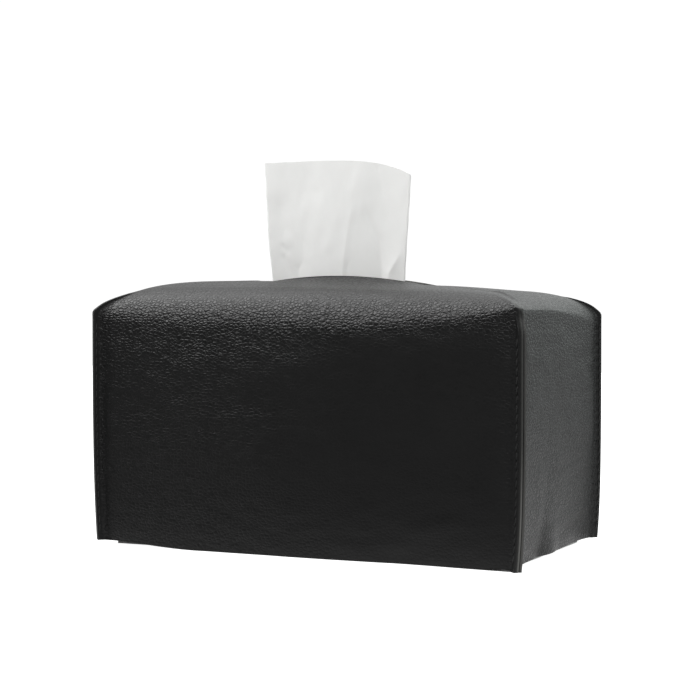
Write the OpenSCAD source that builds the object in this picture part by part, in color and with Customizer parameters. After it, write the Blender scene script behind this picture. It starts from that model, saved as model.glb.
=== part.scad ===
// Rectangular leather tissue box cover, standing over a carton of tissues.
// The cover is one leather blank, folded down on four sides and closed by four
// standing corner seams. It has a suede lining, a slot in its crown and no floor.
// Millimetres. X runs along the length, the front faces -Y and Z is up.
// The origin is on the table, below the middle of the cover.

/* [Tissue carton] */
// Length of the carton
carton_length = 230; // [200:1:260]
// Depth of the carton
carton_depth = 112; // [90:1:140]
// Height of the carton
carton_height = 114; // [80:1:140]
// Thickness of the paperboard
board_thickness = 0.8; // [0.4:0.1:1.5]
// Distance from each end of the carton to the window in its top
window_margin = 22; // [12:1:26]
// Width of the window
window_width = 40; // [25:1:60]
// Thickness of the film glued under the window
film_thickness = 0.3; // [0.1:0.05:0.6]
// Width of the glued margin of film around the window
film_margin = 8; // [4:0.5:12]

/* [Cover] */
// Room between each end of the carton and the cover's lining, below the shoulder
end_room = 6.3; // [3:0.1:12]
// Room between the carton's long sides and the cover's lining
side_room = 5.6; // [3:0.1:12]
// Height of the edge of the cover's top above the carton
edge_room = 22.5; // [18:0.5:50]
// Thickness of the leather
leather_thickness = 2.2; // [1.2:0.1:3]
// Thickness of the suede lining
lining_thickness = 0.6; // [0.3:0.1:1.2]
// Height of the lining's lower edge above the hem
lining_margin = 5; // [2:0.5:12]

/* [Crown] */
// Rise of the middle of the crown above the edge of the top
crown_rise = 8.8; // [2:0.1:14]
// Height that the crown gains toward its left end and loses toward its right end
crown_lean = 3.4; // [0:0.1:6]
// Height that the shoulders gain toward the left end and lose toward the right end
shoulder_lean = 0.9; // [0:0.1:2]
// Fall of the crown toward both ends
crown_end_sag = 3.3; // [0:0.1:6]
// Reach of the roll from wall to top, in plan
roll_reach = 22; // [14:0.5:26]
// Height of the roll at the corners
corner_roll_height = 12; // [9:0.5:20]
// Height of the roll halfway along each wall
middle_roll_height = 20; // [12:0.5:26]

/* [Slot] */
// Room in the slot beyond the widest part of the tissue
slot_end_room = 10; // [5:0.5:20]
// Width of the slot
slot_width = 18; // [12:0.5:24]
// Rise of the slot's lips above the crown
lip_rise = 3.6; // [0:0.1:6]
// Length of the raised part of the lips
lip_length = 92; // [40:1:110]
// Distance of the lips' highest point to the right of the slot's middle
lip_shift = 4; // [0:0.5:8]

/* [Walls] */
// Swell of the front and back walls at mid height
wall_swell = 1.6; // [0:0.1:2.4]
// Depth of the shallow hollow in the front wall's hem, toward its right seam
front_hollow = 2.2; // [0:0.1:3]
// Depth of the upright pleat at the hem of each end wall
pleat_depth = 1.2; // [0:0.1:2]
// Height of the end walls' hem above the table
end_hem_lift = 2.5; // [0:0.1:4]
// Height that the end walls' hem gains from its middle toward the back corner
end_hem_rise = 0.8; // [0:0.1:1.5]
// Height of the front left corner's hem above the table
front_corner_lift = 2.6; // [0:0.1:4]
// Height of the back right corner's hem above the table
back_corner_lift = 2.4; // [0:0.1:4]
// How far the left end draws in from its shoulder to its hem
left_draw = 1.9; // [0:0.1:3]
// How far the right end draws in from its shoulder to its hem
right_draw = 0.9; // [0:0.1:3]

/* [Corner seams] */
// Width of the standing seam, from its crease to its raw edge
seam_width = 3.4; // [2.4:0.1:6]
// How much further the raw edge stands out where the roll begins
seam_flare = 0.8; // [0:0.1:1.5]
// Distance of the stitches from the raw edge
stitch_margin = 1.4; // [1:0.1:1.8]
// Length of one stitch, hole to hole
stitch_length = 4.6; // [3:0.1:7]
// Diameter of the sewing thread
thread_diameter = 0.7; // [0.4:0.05:1]

/* [Tissues] */
// Height of the free space above the stack, below the film
stack_headroom = 12.1; // [4:0.1:60]
// Room between the stack and the carton's walls
stack_room = 3; // [1:0.5:8]
// Number of bundles of folded tissues in the stack
bundle_count = 8; // [4:1:12]
// Depth to which neighbouring bundles press into each other
bundle_press = 0.2; // [0.05:0.05:0.5]
// Width of the pulled tissue at its foot
tissue_width = 78.5; // [60:0.5:100]
// Height of the pulled tissue above the slot's lips
tissue_rise = 64.3; // [40:0.1:90]
// Thickness of the folded tissue
tissue_thickness = 1.2; // [0.8:0.1:2]
// Distance of the pulled tissue's middle to the left of the slot's middle
tissue_shift = 7.5; // [0:0.5:10]
// Distance of the pulled tissue behind the slot's middle
tissue_setback = 1; // [0:0.1:2]
// Depth of the tissue's soft upright folds
fold_depth = 0.9; // [0:0.1:1.2]
// Spread of each of the tissue's sides from its foot to its top
tissue_spread = 5.9; // [0:0.1:8]
// Droop of the tissue's right top corner
tissue_droop = 10; // [0:0.5:20]
// Room in the film's slit beyond the farther side of the tissue
slit_end_room = 16; // [4:0.5:20]
// Room in the film's slit in front of the tissue, and behind it
slit_side_room = 2.9; // [1.5:0.1:5]

/* [Fit] */
// Gap between pieces that rest loosely against each other
seat_gap = 0.3; // [0.2:0.05:0.6]

/* [Hidden] */

leather_colour = [0.12, 0.12, 0.12];
suede_colour = [0.33, 0.32, 0.31];
thread_colour = [0.05, 0.05, 0.05];
board_colour = [0.86, 0.85, 0.82];
film_colour = [0.9, 0.93, 0.95];
tissue_colour = [0.95, 0.95, 0.94];

overrun = 1;
thread_sides = 24;
round_sides = 64;

// The cover is measured over its creases, the outer corners of its walls.
lining_inset = leather_thickness;
inner_inset = leather_thickness + lining_thickness;
half_length = carton_length / 2 + end_room + inner_inset;
half_depth = carton_depth / 2 + side_room + inner_inset;
edge_height = carton_height + edge_room;
crease_setback = leather_thickness * sqrt(2);

// The slot lets the whole tissue through, and the window and the slit lie below it.
slot_half = tissue_width / 2 + tissue_spread + tissue_shift + slot_end_room;
slot_radius = slot_width / 2;
slot_straight = slot_half - slot_radius;
slit_length = tissue_width + 2 * (tissue_shift + slit_end_room);
slit_width = tissue_thickness + 2 * slit_side_room;
window_length = carton_length - 2 * window_margin;
stack_height = carton_height - 2 * board_thickness - film_thickness - stack_headroom;

// How far an end wall leans in at the hem, until the lining rests on the carton.
function end_tuck(wall) = end_room - seat_gap - (wall == LEFT ? left_draw : right_draw);

// How full the crown stays before it falls at its ends, and across its depth.
crown_end_power = 10;
crown_side_power = 2;
roll_blend_power = 4;
tuck_side_power = 8;
tuck_height_power = 2;
lift_side_power = 12;
lip_power = 3;

// The angle of the roll where the seam's raw edge stands out most, and its spread.
flare_angle = 11;
flare_spread = 6;

// The hem's features, as shares of the half length or half depth of their wall.
pleat_place_share = 0.28;
pleat_width_share = 0.14;
hollow_place_share = 0.5;
hollow_width_share = 0.3;
corner_lift_share = 0.55;

// Columns of the surface along a long wall and an end wall, and the share of them
// that is spaced evenly. The rest crowd toward the creases.
long_columns = 18;
end_columns = 12;
even_share = 0.35;

// Rows of the surface. Each has a zone and its place in that zone: a share of the
// wall's height, an angle of the roll in degrees, or a share of the way to the slot.
WALL = "wall";
ROLL = "roll";
CROWN = "crown";
wall_shares = [0.15, 0.3, 0.45, 0.6, 0.75, 0.88, 1];
roll_angles = [9, 18, 36, 54, 72, 90];
crown_shares = [0.25, 0.5, 0.75, 0.9, 1];
rows = concat(
    [[WALL, 0]],
    [[WALL, lining_margin / (edge_height - corner_roll_height)]],
    [for (share = wall_shares) [WALL, share]],
    [for (angle = roll_angles) [ROLL, angle]],
    [for (share = crown_shares) [CROWN, share]]
);

// The four walls, counterclockwise from above: front, right end, back, left end.
OUTWARD = [[0, -1], [1, 0], [0, 1], [-1, 0]];
WALLS = [for (wall = [0:len(OUTWARD) - 1]) wall];
FRONT = WALLS[0];
RIGHT = WALLS[1];
BACK = WALLS[2];
LEFT = WALLS[3];
function outward(wall) = OUTWARD[wall];
function along(wall) = [-outward(wall).y, outward(wall).x];
function is_end(wall) = wall == RIGHT || wall == LEFT;
function face_distance(wall) = is_end(wall) ? half_length : half_depth;
function half_span(wall) = is_end(wall) ? half_depth : half_length;

function mix(a, b, share) = a * (1 - share) + b * share;
function unit(v) = v / norm(v);
function smooth(share) = let (s = min(1, max(0, share))) s * s * (3 - 2 * s);
function bell(offset, width) = exp(-pow(offset / width, 2));

// Places across a wall, from -1 at its first crease to 1 at its last.
function columns(wall) =
    let (count = is_end(wall) ? end_columns : long_columns)
    [for (i = [0:count]) let (even = 2 * i / count - 1)
        mix(sin(90 * even), even, even_share)];

// Height of the roll at place t across a wall.
function roll_height(t) =
    mix(middle_roll_height, corner_roll_height, pow(t, roll_blend_power));

// Height of the crown's surface over a point in plan, before the roll takes it down.
function dome_along(x) =
    let (e = x / half_length)
    (1 - pow(e, crown_end_power)) * (crown_rise - crown_lean * e - crown_end_sag * e * e);
function dome_across(y) = 1 - pow(abs(y) / half_depth, crown_side_power);
function dome_height(p) =
    edge_height - shoulder_lean * p.x / half_length + dome_along(p.x) * dome_across(p.y);

// Rise of the slot's lips at a share of the way from the roll to the slot.
function lip_height(p, share) =
    let (e = (p.x - lip_shift) / (lip_length / 2))
    lip_rise * max(0, 1 - e * e) * pow(share, lip_power);

// Height of the hem above the table.
function hem_height(wall, t) =
    let (lift = wall == FRONT || wall == LEFT ? front_corner_lift : back_corner_lift)
    is_end(wall)
    ? mix(end_hem_lift + end_hem_rise * (wall == RIGHT ? t : -t), t > 0 ? lift : 0,
        pow(t, lift_side_power))
    : lift * smooth((corner_lift_share - 1 - t) / corner_lift_share);

// How far a wall stands out of its flat, at place t and a share of its height.
function end_lean(wall, t, share) =
    let (pleat = pleat_depth * bell(t + pleat_place_share, pleat_width_share))
    (pleat - end_tuck(wall)) * (1 - pow(t, tuck_side_power))
        * pow(1 - share, tuck_height_power);
function wall_swelling(t, share) = wall_swell * (1 - t * t) * sin(180 * share);
function hollow(t, share) =
    front_hollow * bell(t - hollow_place_share, hollow_width_share)
        * (1 - pow(t, tuck_side_power)) * pow(1 - share, tuck_height_power);
function stand_out(wall, t, share) =
    is_end(wall) ? end_lean(wall, t, share)
    : wall_swelling(t, share) - (wall == FRONT ? hollow(t, share) : 0);

// A point in plan on a wall's face, moved in by inset and out by stand.
function plan(wall, t, inset, stand) =
    outward(wall) * (face_distance(wall) - inset + stand)
    + along(wall) * t * (half_span(wall) - inset - crease_setback);

// The point of the slot's edge that a point of the roll's upper edge is drawn to:
// the long walls go to the slot's straight sides, the end walls to its round ends.
function slot_point(p) =
    let (
        centre = slot_straight * p.x / (half_length - roll_reach),
        angle = 90 * p.y / (half_depth - roll_reach)
    )
    [centre + slot_radius * sign(p.x) * cos(angle), slot_radius * sin(angle)];

// The ends draw in below the shoulder: a point's place after that.
function drawn(p) =
    let (draw = (p.x < 0 ? left_draw : right_draw) * max(0, 1 - p.z / edge_height))
    [p.x * (1 - draw / half_length), p.y, p.z];

// A point of the cover's surface, inset from its outer face.
function surface_point(wall, t, row, inset) =
    let (
        zone = rows[row][0],
        place = rows[row][1],
        height = roll_height(t)
    )
    zone == WALL
    ? let (
        foot = plan(wall, t, inset, 0),
        p = plan(wall, t, inset, stand_out(wall, t, place))
    ) drawn([p.x, p.y, mix(hem_height(wall, t), dome_height(foot) - height, place)])
    : zone == ROLL
    ? let (p = plan(wall, t, inset + (roll_reach - inset) * (1 - cos(place)), 0))
        drawn([p.x, p.y, dome_height(p) - inset - (height - inset) * (1 - sin(place))])
    : let (
        start = plan(wall, t, roll_reach, 0),
        p = mix(start, slot_point(start), place)
    ) [p.x, p.y, dome_height(p) + lip_height(p, place) - inset];

// Width of the standing seam at a row: it tapers out over the roll.
function seam_width_at(row) =
    rows[row][0] == WALL ? seam_width
    : rows[row][0] == ROLL ? seam_width * cos(rows[row][1])
    : 0;

// Direction in which the seam after a wall stands, square to its crease, at an
// angle of the roll.
function seam_direction(wall, angle) =
    let (
        flat = unit(outward(wall) + along(wall)),
        slope = atan2(roll_reach * sqrt(2) * sin(angle), corner_roll_height * cos(angle))
    )
    [flat.x * cos(slope), flat.y * cos(slope), sin(slope)];

// The raw edge's offset from the crease in a row: it keeps a corner where the roll
// begins.
function seam_stand(wall, row) =
    let (
        angle = rows[row][0] == ROLL ? rows[row][1] : 0,
        flare = angle > 0 ? seam_flare * bell(angle - flare_angle, flare_spread) : 0
    )
    seam_width_at(row) * seam_direction(wall, angle) + flare * seam_direction(wall, 0);

// The two points between a wall's last crease and the next wall's first: the raw
// edges of the standing seam, or a small rounded corner where there is no seam.
function corner_points(wall, row, inset) =
    let (
        first = surface_point(wall, 1, row, inset),
        last = surface_point((wall + 1) % len(WALLS), -1, row, inset),
        stand = seam_stand(wall, row),
        tip = (first + last) / 2 + crease_setback / 2 * seam_direction(wall, 0)
    )
    inset == 0 && seam_width_at(row) > 0
    ? [first + stand, last + stand]
    : [for (s = [1 / 3, 2 / 3])
        (1 - s) * (1 - s) * first + 2 * s * (1 - s) * tip + s * s * last];

function surface_ring(row, inset) = [
    for (wall = WALLS)
        each concat(
            [for (t = columns(wall)) surface_point(wall, t, row, inset)],
            corner_points(wall, row, inset)
        )
];

// Triangles between two rings of n points, seen from outside or from inside.
function outer_band(low, high, n) = [
    for (i = [0:n - 1]) let (j = (i + 1) % n)
        each [[low + i, high + i, high + j], [low + i, high + j, low + j]]
];
function inner_band(low, high, n) = [
    for (face = outer_band(low, high, n)) [face[2], face[1], face[0]]
];

// A skin of the cover between two insets, from a first row up to the slot's edge.
module skin(outer_inset, skin_inset, first_row) {
    outer = [for (row = [first_row:len(rows) - 1]) surface_ring(row, outer_inset)];
    inner = [for (row = [first_row:len(rows) - 1]) surface_ring(row, skin_inset)];
    count = len(outer);
    n = len(outer[0]);
    inner_start = count * n;
    points = concat([for (ring = outer) each ring], [for (ring = inner) each ring]);
    faces = concat(
        [for (k = [0:count - 2]) each outer_band(k * n, (k + 1) * n, n)],
        [for (k = [0:count - 2])
            each inner_band(inner_start + k * n, inner_start + (k + 1) * n, n)],
        inner_band(0, inner_start, n),
        outer_band((count - 1) * n, inner_start + (count - 1) * n, n)
    );
    polyhedron(points = points, faces = faces, convexity = 10);
}

// The leather blank: four walls, the crown with its slot, and the standing seams.
module leather_shell() {
    color(leather_colour) skin(0, lining_inset, 0);
}

// The suede lining, bonded inside the leather and cut short of the hem.
module suede_lining() {
    color(suede_colour) skin(lining_inset, inner_inset, 1);
}

// A rod of sewing thread between two points.
module rod(from, to, diameter) {
    run = to - from;
    translate(from)
        rotate([0, acos(run.z / norm(run)), atan2(run.y, run.x)])
            cylinder(h = norm(run), d = diameter, $fn = thread_sides);
}

// A hole of the stitch line in the middle of the standing seam after a wall.
function stitch_hole(wall, height) =
    let (
        first = plan(wall, 1, 0, 0),
        last = plan((wall + 1) % len(WALLS), -1, 0, 0),
        crease = (first + last) / 2
    )
    drawn([crease.x, crease.y, height]
        + (seam_width - stitch_margin) * seam_direction(wall, 0));

// One corner seam's lock stitch: a run of thread along each face of the seam, and
// a crossing through the leather, where the thread is pulled thinner, at every hole.
module seam_thread(wall) {
    pulled_share = 0.75;
    first = hem_height(wall, 1) + stitch_length;
    shoulder = edge_height - shoulder_lean - corner_roll_height;
    count = floor((shoulder - first) / stitch_length);
    last = first + count * stitch_length;
    side = unit(outward(wall) - along(wall));
    reach = leather_thickness * [side.x, side.y, 0];
    color(thread_colour)
        union() {
            for (i = [0:count]) {
                hole = stitch_hole(wall, first + i * stitch_length);
                rod(hole - reach, hole + reach, pulled_share * thread_diameter);
            }
            for (face = [-1, 1])
                rod(
                    stitch_hole(wall, first - thread_diameter) + face * reach,
                    stitch_hole(wall, last + thread_diameter) + face * reach,
                    thread_diameter
                );
        }
}

// A flat stadium shape, long in X.
module stadium(length, width) {
    square([length - width, width], center = true);
    for (side = [-1, 1])
        translate([side * (length - width) / 2, 0]) circle(d = width, $fn = round_sides);
}

// The tissue carton, with a window in its top.
module carton() {
    color(board_colour)
        difference() {
            translate([-carton_length / 2, -carton_depth / 2, 0])
                cube([carton_length, carton_depth, carton_height]);
            translate([
                board_thickness - carton_length / 2,
                board_thickness - carton_depth / 2,
                board_thickness
            ])
                cube([
                    carton_length - 2 * board_thickness,
                    carton_depth - 2 * board_thickness,
                    carton_height - 2 * board_thickness
                ]);
            translate([0, 0, carton_height - board_thickness - overrun])
                linear_extrude(board_thickness + 2 * overrun)
                    stadium(window_length, window_width);
        }
}

// The clear film under the window, slit so that it grips the next tissue.
module window_film() {
    color(film_colour)
        translate([0, 0, carton_height - board_thickness - film_thickness])
            linear_extrude(film_thickness)
                difference() {
                    stadium(window_length + 2 * film_margin, window_width + 2 * film_margin);
                    translate([0, tissue_setback]) stadium(slit_length, slit_width);
                }
}

// The stack of tissues: bundles of folded sheets with round folds at front and back.
module tissue_stack() {
    bundle = (stack_height + (bundle_count - 1) * bundle_press) / bundle_count;
    pitch = bundle - bundle_press;
    length = carton_length - 2 * (board_thickness + stack_room);
    depth = carton_depth - 2 * (board_thickness + stack_room);
    color(tissue_colour)
        translate([-length / 2, 0, board_thickness])
            rotate([90, 0, 90])
                linear_extrude(length)
                    for (i = [0:bundle_count - 1])
                        translate([0, bundle / 2 + i * pitch]) stadium(depth, bundle);
}

// The tissue that stands in the slot: a folded sheet that widens above the slot,
// with soft upright folds and a drooping right corner.
tissue_foot = board_thickness + stack_height + seat_gap;
tissue_top = edge_height + crown_rise + lip_rise + tissue_rise;
tissue_columns = 16;
tissue_rows = 10;
fold_count = 1.6;
droop_power = 5;

// Height of the tissue's top edge at a share of its width from the left.
function tissue_edge(share) = tissue_top - tissue_droop * pow(share, droop_power);

// A point of one face of the tissue, at shares of its width and of its height.
function tissue_point(across, up, face) =
    let (
        spread = tissue_spread * up,
        x = (across - 1 / 2) * (tissue_width + 2 * spread) - tissue_shift,
        z = mix(tissue_foot, tissue_edge(across), up),
        wave = fold_depth * sin(360 * fold_count * across) * sin(180 * up)
    )
    [x, tissue_setback + wave + face * tissue_thickness / 2, z];

module pulled_tissue() {
    n = 2 * (tissue_columns + 1);
    rings = [
        for (k = [0:tissue_rows]) concat(
            [for (i = [0:tissue_columns])
                tissue_point(i / tissue_columns, k / tissue_rows, -1)],
            [for (i = [tissue_columns:-1:0])
                tissue_point(i / tissue_columns, k / tissue_rows, 1)]
        )
    ];
    top = tissue_rows * n;
    cap = [
        for (i = [0:tissue_columns - 1]) let (a = i, b = i + 1, c = n - 2 - i, d = n - 1 - i)
            each [[a, b, c], [a, c, d]]
    ];
    color(tissue_colour)
        polyhedron(
            points = [for (ring = rings) each ring],
            faces = concat(
                [for (k = [0:tissue_rows - 1]) each outer_band(k * n, (k + 1) * n, n)],
                cap,
                [for (face = cap) [top + face[2], top + face[1], top + face[0]]]
            ),
            convexity = 4
        );
}

leather_shell();
suede_lining();
seam_thread(LEFT);  // seam_thread_front_left
seam_thread(FRONT);  // seam_thread_front_right
seam_thread(RIGHT);  // seam_thread_back_right
seam_thread(BACK);  // seam_thread_back_left
carton();
window_film();
tissue_stack();
pulled_tissue();
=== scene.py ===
# %% [markdown]
# # A soft leather cover over a carton of tissues
# This script dresses a part that was first built as CAD solids. The solids are the
# fixed frame: every piece made here takes its place from them and moves with them.
# We load the frame first.
# %% Load the imported part
import math

import bpy
import numpy as np
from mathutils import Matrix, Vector


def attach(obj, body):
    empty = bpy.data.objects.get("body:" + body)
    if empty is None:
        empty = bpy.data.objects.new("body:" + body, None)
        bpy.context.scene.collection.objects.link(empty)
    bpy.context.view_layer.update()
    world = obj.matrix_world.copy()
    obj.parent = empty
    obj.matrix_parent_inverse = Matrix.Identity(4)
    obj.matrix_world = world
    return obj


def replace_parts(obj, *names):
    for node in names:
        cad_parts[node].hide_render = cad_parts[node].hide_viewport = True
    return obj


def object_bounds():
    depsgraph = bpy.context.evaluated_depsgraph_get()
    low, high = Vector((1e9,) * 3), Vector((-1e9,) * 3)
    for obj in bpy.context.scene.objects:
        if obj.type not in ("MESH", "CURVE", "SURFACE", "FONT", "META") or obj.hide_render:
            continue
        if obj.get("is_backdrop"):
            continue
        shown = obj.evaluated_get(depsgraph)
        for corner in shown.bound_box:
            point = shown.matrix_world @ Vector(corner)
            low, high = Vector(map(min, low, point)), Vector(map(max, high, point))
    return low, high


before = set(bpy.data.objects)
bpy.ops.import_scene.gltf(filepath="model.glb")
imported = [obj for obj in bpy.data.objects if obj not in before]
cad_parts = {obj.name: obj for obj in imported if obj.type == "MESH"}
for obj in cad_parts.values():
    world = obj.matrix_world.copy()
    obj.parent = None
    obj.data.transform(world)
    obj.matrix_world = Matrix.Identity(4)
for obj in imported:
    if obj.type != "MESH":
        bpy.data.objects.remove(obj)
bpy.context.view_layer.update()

# %% [markdown]
# ## Small tools
# The cover's surface follows formulas, so we need a few words for them: a mix of two
# values, a soft step, a bell curve and a hill at a place. They work on whole numpy
# arrays too, which keeps a mesh of 50,000 points quick.
# %% Mix, step, bell and hill
MM = 0.001


def mix(a, b, share):
    return a * (1 - share) + b * share


def smooth(share):
    s = np.clip(share, 0, 1)
    return s * s * (3 - 2 * s)


def bell(offset, width):
    return np.exp(-((offset / width) ** 2))


def hill(t, height, place, width):
    return height * bell(t - place, width)


print("mix(0, 10, 0.3) =", mix(0, 10, 0.3))

# %% [markdown]
# Leather and paper are never perfectly even. This tool adds up waves of many
# directions into a calm random field with values near -1 to 1. Its seed is fixed, so
# each run gives the same leather. The sizes say how long its features are along X, Y
# and Z, in millimetres.
# %% A soft random field
noise_range = 1.6  # most values lie within 1.6 times their spread


def soft_noise(points, sizes, seed, waves=40):
    pick = np.random.default_rng(seed)
    pull = pick.normal(size=(waves, 3)) / np.array(sizes)
    phase = pick.uniform(0, 2 * math.pi, waves)
    total = np.cos(points @ pull.T * 2 + phase).sum(-1)
    return total * math.sqrt(2 / waves) / noise_range


print("noise at the origin:", soft_noise(np.zeros((1, 3)), (9, 9, 9), 1).round(3))

# %% [markdown]
# ## The sizes of the real thing
# These are the cover's own sizes in millimetres, the same as the CAD solids have. A
# family-size carton stands inside, with room for the cover to slide over it. The
# leather is 2 mm of soft laminate, folded down on four sides and sewn at four
# standing corner seams.
# %% Sizes of the cover
carton_length, carton_depth, carton_height = 230, 112, 114
end_room, side_room, head_room = 6.3, 5.6, 22.5
leather, lining, lining_margin = 2.2, 0.6, 5
half_length = carton_length / 2 + end_room + leather + lining
half_depth = carton_depth / 2 + side_room + leather + lining
edge_height = carton_height + head_room
crease_setback = leather * math.sqrt(2)
slot_half, slot_radius = 62.65, 9
seam_width, stitch_margin, stitch_length, thread = 3.4, 1.4, 4.6, 0.7
print("over the creases:", 2 * half_length, "x", round(2 * half_depth, 1), "mm")

# %% [markdown]
# ## The cover's surface as a rule
# Four walls rise to a soft roll, which turns them into the crown, and the crown runs
# in to the slot. We describe a point by its wall, its place t across that wall
# (-1 at its first crease, 1 at its last) and its zone: wall, roll or crown. The
# crown is higher to the left, because such a cover is never filled evenly. The hem
# stands free of the table at the ends.
# %% Crown and hem
FRONT, RIGHT, BACK, LEFT = WALLS = range(4)
OUT = np.array([[0, -1], [1, 0], [0, 1], [-1, 0]], float)
ALONG = np.array([[1, 0], [0, 1], [-1, 0], [0, -1]], float)
crown_rise, crown_lean, crown_bow, edge_lean = 8.8, 3.4, 3.3, 0.9
full_end, full_back = (1.3, 116, 15), (1, 30, 34)  # hills along X and along Y
hem_lift = {FRONT: 2.6, RIGHT: 2.4, BACK: 2.4, LEFT: 2.6}
end_hem, end_hem_slope, lifted_share = 2.0, 0.9, 0.55


def is_end(wall):
    return wall in (RIGHT, LEFT)


def crown_height(x, y):
    e = x / half_length
    ridge = (1 - e**10) * (crown_rise - crown_lean * e - crown_bow * e * e)
    fuller = hill(x, *full_end) * hill(y, *full_back)
    return edge_height - edge_lean * e + ridge * (1 - (y / half_depth) ** 2) + fuller


def hem_height(wall, t):
    if is_end(wall):
        middle = end_hem + end_hem_slope * (t if wall == RIGHT else -t)
        return mix(middle, np.where(t > 0, hem_lift[wall], 0), t**12)
    return hem_lift[wall] * smooth((lifted_share - 1 - t) / lifted_share)


print("crown over the middle:", round(float(crown_height(0.0, 0.0)), 1), "mm")

# %% [markdown]
# The long walls swell a little, and the front one has a dent low at its right. The
# ends tuck in below, toward the carton, in a soft pleat. Each hill is given by its
# height in millimetres, its place across the wall and its width.
# %% Walls that swell and tuck in
wall_swell, hem_clearance = 1.6, 0.3
end_draw = {LEFT: 2.7, RIGHT: 2.2}
pleat_ridge, pleat_valley, front_dent = (1.5, -0.05, 0.16), (1.3, -0.32, 0.1), (2.2, 0.5, 0.3)


def stand_out(wall, t, share):
    """How far a point at a share of the wall's height stands out of its plane."""
    low = (1 - t**8) * (1 - share) ** 2
    if is_end(wall):
        tuck = end_room - hem_clearance - end_draw[wall]
        pleat = hill(t, *pleat_ridge) - hill(t, *pleat_valley)
        return (pleat * (1 - share) ** 3 - tuck) * low
    swell = wall_swell * (1 - t * t) * np.sin(math.pi * share)
    return swell - (hill(t, *front_dent) * low if wall == FRONT else 0)


def plan(wall, t, inset, stand):
    """A place in plan: inset goes inward from the leather's face, stand outward."""
    face = half_length if is_end(wall) else half_depth
    span = half_depth if is_end(wall) else half_length
    along = t * (span - inset - crease_setback)
    return OUT[wall] * (face - inset + stand)[:, None] + ALONG[wall] * along[:, None]


def drawn(p):
    """Draw both ends in below the shoulder, the left one from higher up."""
    fall = np.clip(1 - p[:, 2] / edge_height, 0, None)
    draw = np.where(p[:, 0] < 0, end_draw[LEFT] * fall**4, end_draw[RIGHT] * fall**6)
    p[:, 0] *= 1 - draw / half_length
    return p


print("the right end tucks in by", round(-float(stand_out(RIGHT, 0.0, 0.0)), 1), "mm")

# %% [markdown]
# The roll between walls and crown is round and slack along the front and back. At the
# right end, toward the front, the leather is pulled tight and folds: a low roll with
# a crease below it.
# %% Roll, slot and lips
roll_reach, middle_roll, slack_roll, plain_roll = 22, 20, 14, 12
tight_roll, tight_fold = 6.8, 1.35
corner_roll = [tight_roll] + 3 * [plain_roll]  # at the corner after each wall
lip_rise, lip_middle, lip_half = 3.6, 4, 46


def roll_of(wall, t):
    """Height of the roll, and how far it is folded (1 is round, more is a crease below)."""
    corner = np.where(t > 0, corner_roll[wall], corner_roll[wall - 1])
    if wall != RIGHT:
        to_corner = np.where((t > 0) & (wall == FRONT), np.abs(t) ** 3, t**4)
        middle = slack_roll if wall == LEFT else middle_roll
        return mix(middle, corner, to_corner), 1 + 0 * t
    slack = smooth((t + 0.4) / 1.5)
    return mix(mix(tight_roll, slack_roll, slack), corner, t**8), mix(tight_fold, 1.0, slack)


def slot_point(x, y):
    angle = math.pi / 2 * y / (half_depth - roll_reach)
    centre = (slot_half - slot_radius) * x / (half_length - roll_reach)
    across = centre + slot_radius * np.sign(x) * np.cos(angle)
    return np.stack([across, slot_radius * np.sin(angle)], 1)


print("rolls at the corners:", corner_roll, "mm")

# %% [markdown]
# With those, one function gives any point of any wall, moved inward by an inset: 0 is
# the leather's face, `leather` its back. Its place is the share of the wall's height,
# the angle over the roll, or the share of the way in to the slot.


# %% A point of the cover
def cover_point(wall, t, zone, place, inset):
    t = np.asarray(t, float)
    roll, fold = roll_of(wall, t)
    none = np.zeros_like(t)
    if zone == "wall":
        foot = plan(wall, t, inset, none)
        p = plan(wall, t, inset, stand_out(wall, t, place))
        top = crown_height(foot[:, 0], foot[:, 1]) - roll
        return drawn(np.column_stack([p, mix(hem_height(wall, t), top, place)]))
    if zone == "roll":
        a = math.radians(place)
        inward = 1 - np.maximum(math.cos(a), 0) ** fold
        p = plan(wall, t, inset + (roll_reach - inset) * inward, none)
        z = crown_height(p[:, 0], p[:, 1]) - inset - (roll - inset) * (1 - math.sin(a) ** fold)
        return drawn(np.column_stack([p, z]))
    start = plan(wall, t, roll_reach, none)
    p = mix(start, slot_point(start[:, 0], start[:, 1]), place)
    e = (p[:, 0] - lip_middle) / lip_half
    lips = lip_rise * np.clip(1 - e * e, 0, None) * place**3
    return np.column_stack([p, crown_height(p[:, 0], p[:, 1]) + lips - inset])


print("middle of the front hem:", cover_point(FRONT, [0], "wall", 0, 0)[0].round(1))

# %% [markdown]
# ## Rows and columns of the leather
# The mesh is a net: rows run round the cover from hem to slot, columns run up the
# walls. Real leather bends most near the creases and over the roll, so columns
# crowd at the creases and rows at the roll. Cells are 1 to 2 mm: finer than the
# wrinkles that we want to see, yet light enough for one mesh.
# %% Where the rows and columns lie
near_crease = np.array([0, 0.3, 0.6, 1.0, 1.5, 2.1, 2.9, 3.9, 5.2])
next_column, cell = 1.7, 1.75


def span_of(wall):
    """From the middle of a wall to its crease."""
    return (half_depth if is_end(wall) else half_length) - crease_setback


def columns(wall):
    span = span_of(wall)
    inner = span - near_crease[-1] - next_column
    middle = np.linspace(-inner, inner, int(round(2 * inner / cell)) + 1)
    edge = span - near_crease
    return np.concatenate([-edge, middle, edge[::-1]]) / span


rows = [("wall", s) for s in np.concatenate([[0, 0.004, 0.012], np.linspace(0.024, 1, 62)])]
rows += [("roll", a) for a in np.linspace(0, 90, 22)[1:]]
rows += [("crown", s) for s in np.concatenate([np.linspace(0, 0.97, 26)[1:], [0.99, 1]])]
print("rows:", len(rows), "columns:", [len(columns(w)) for w in WALLS])

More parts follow.
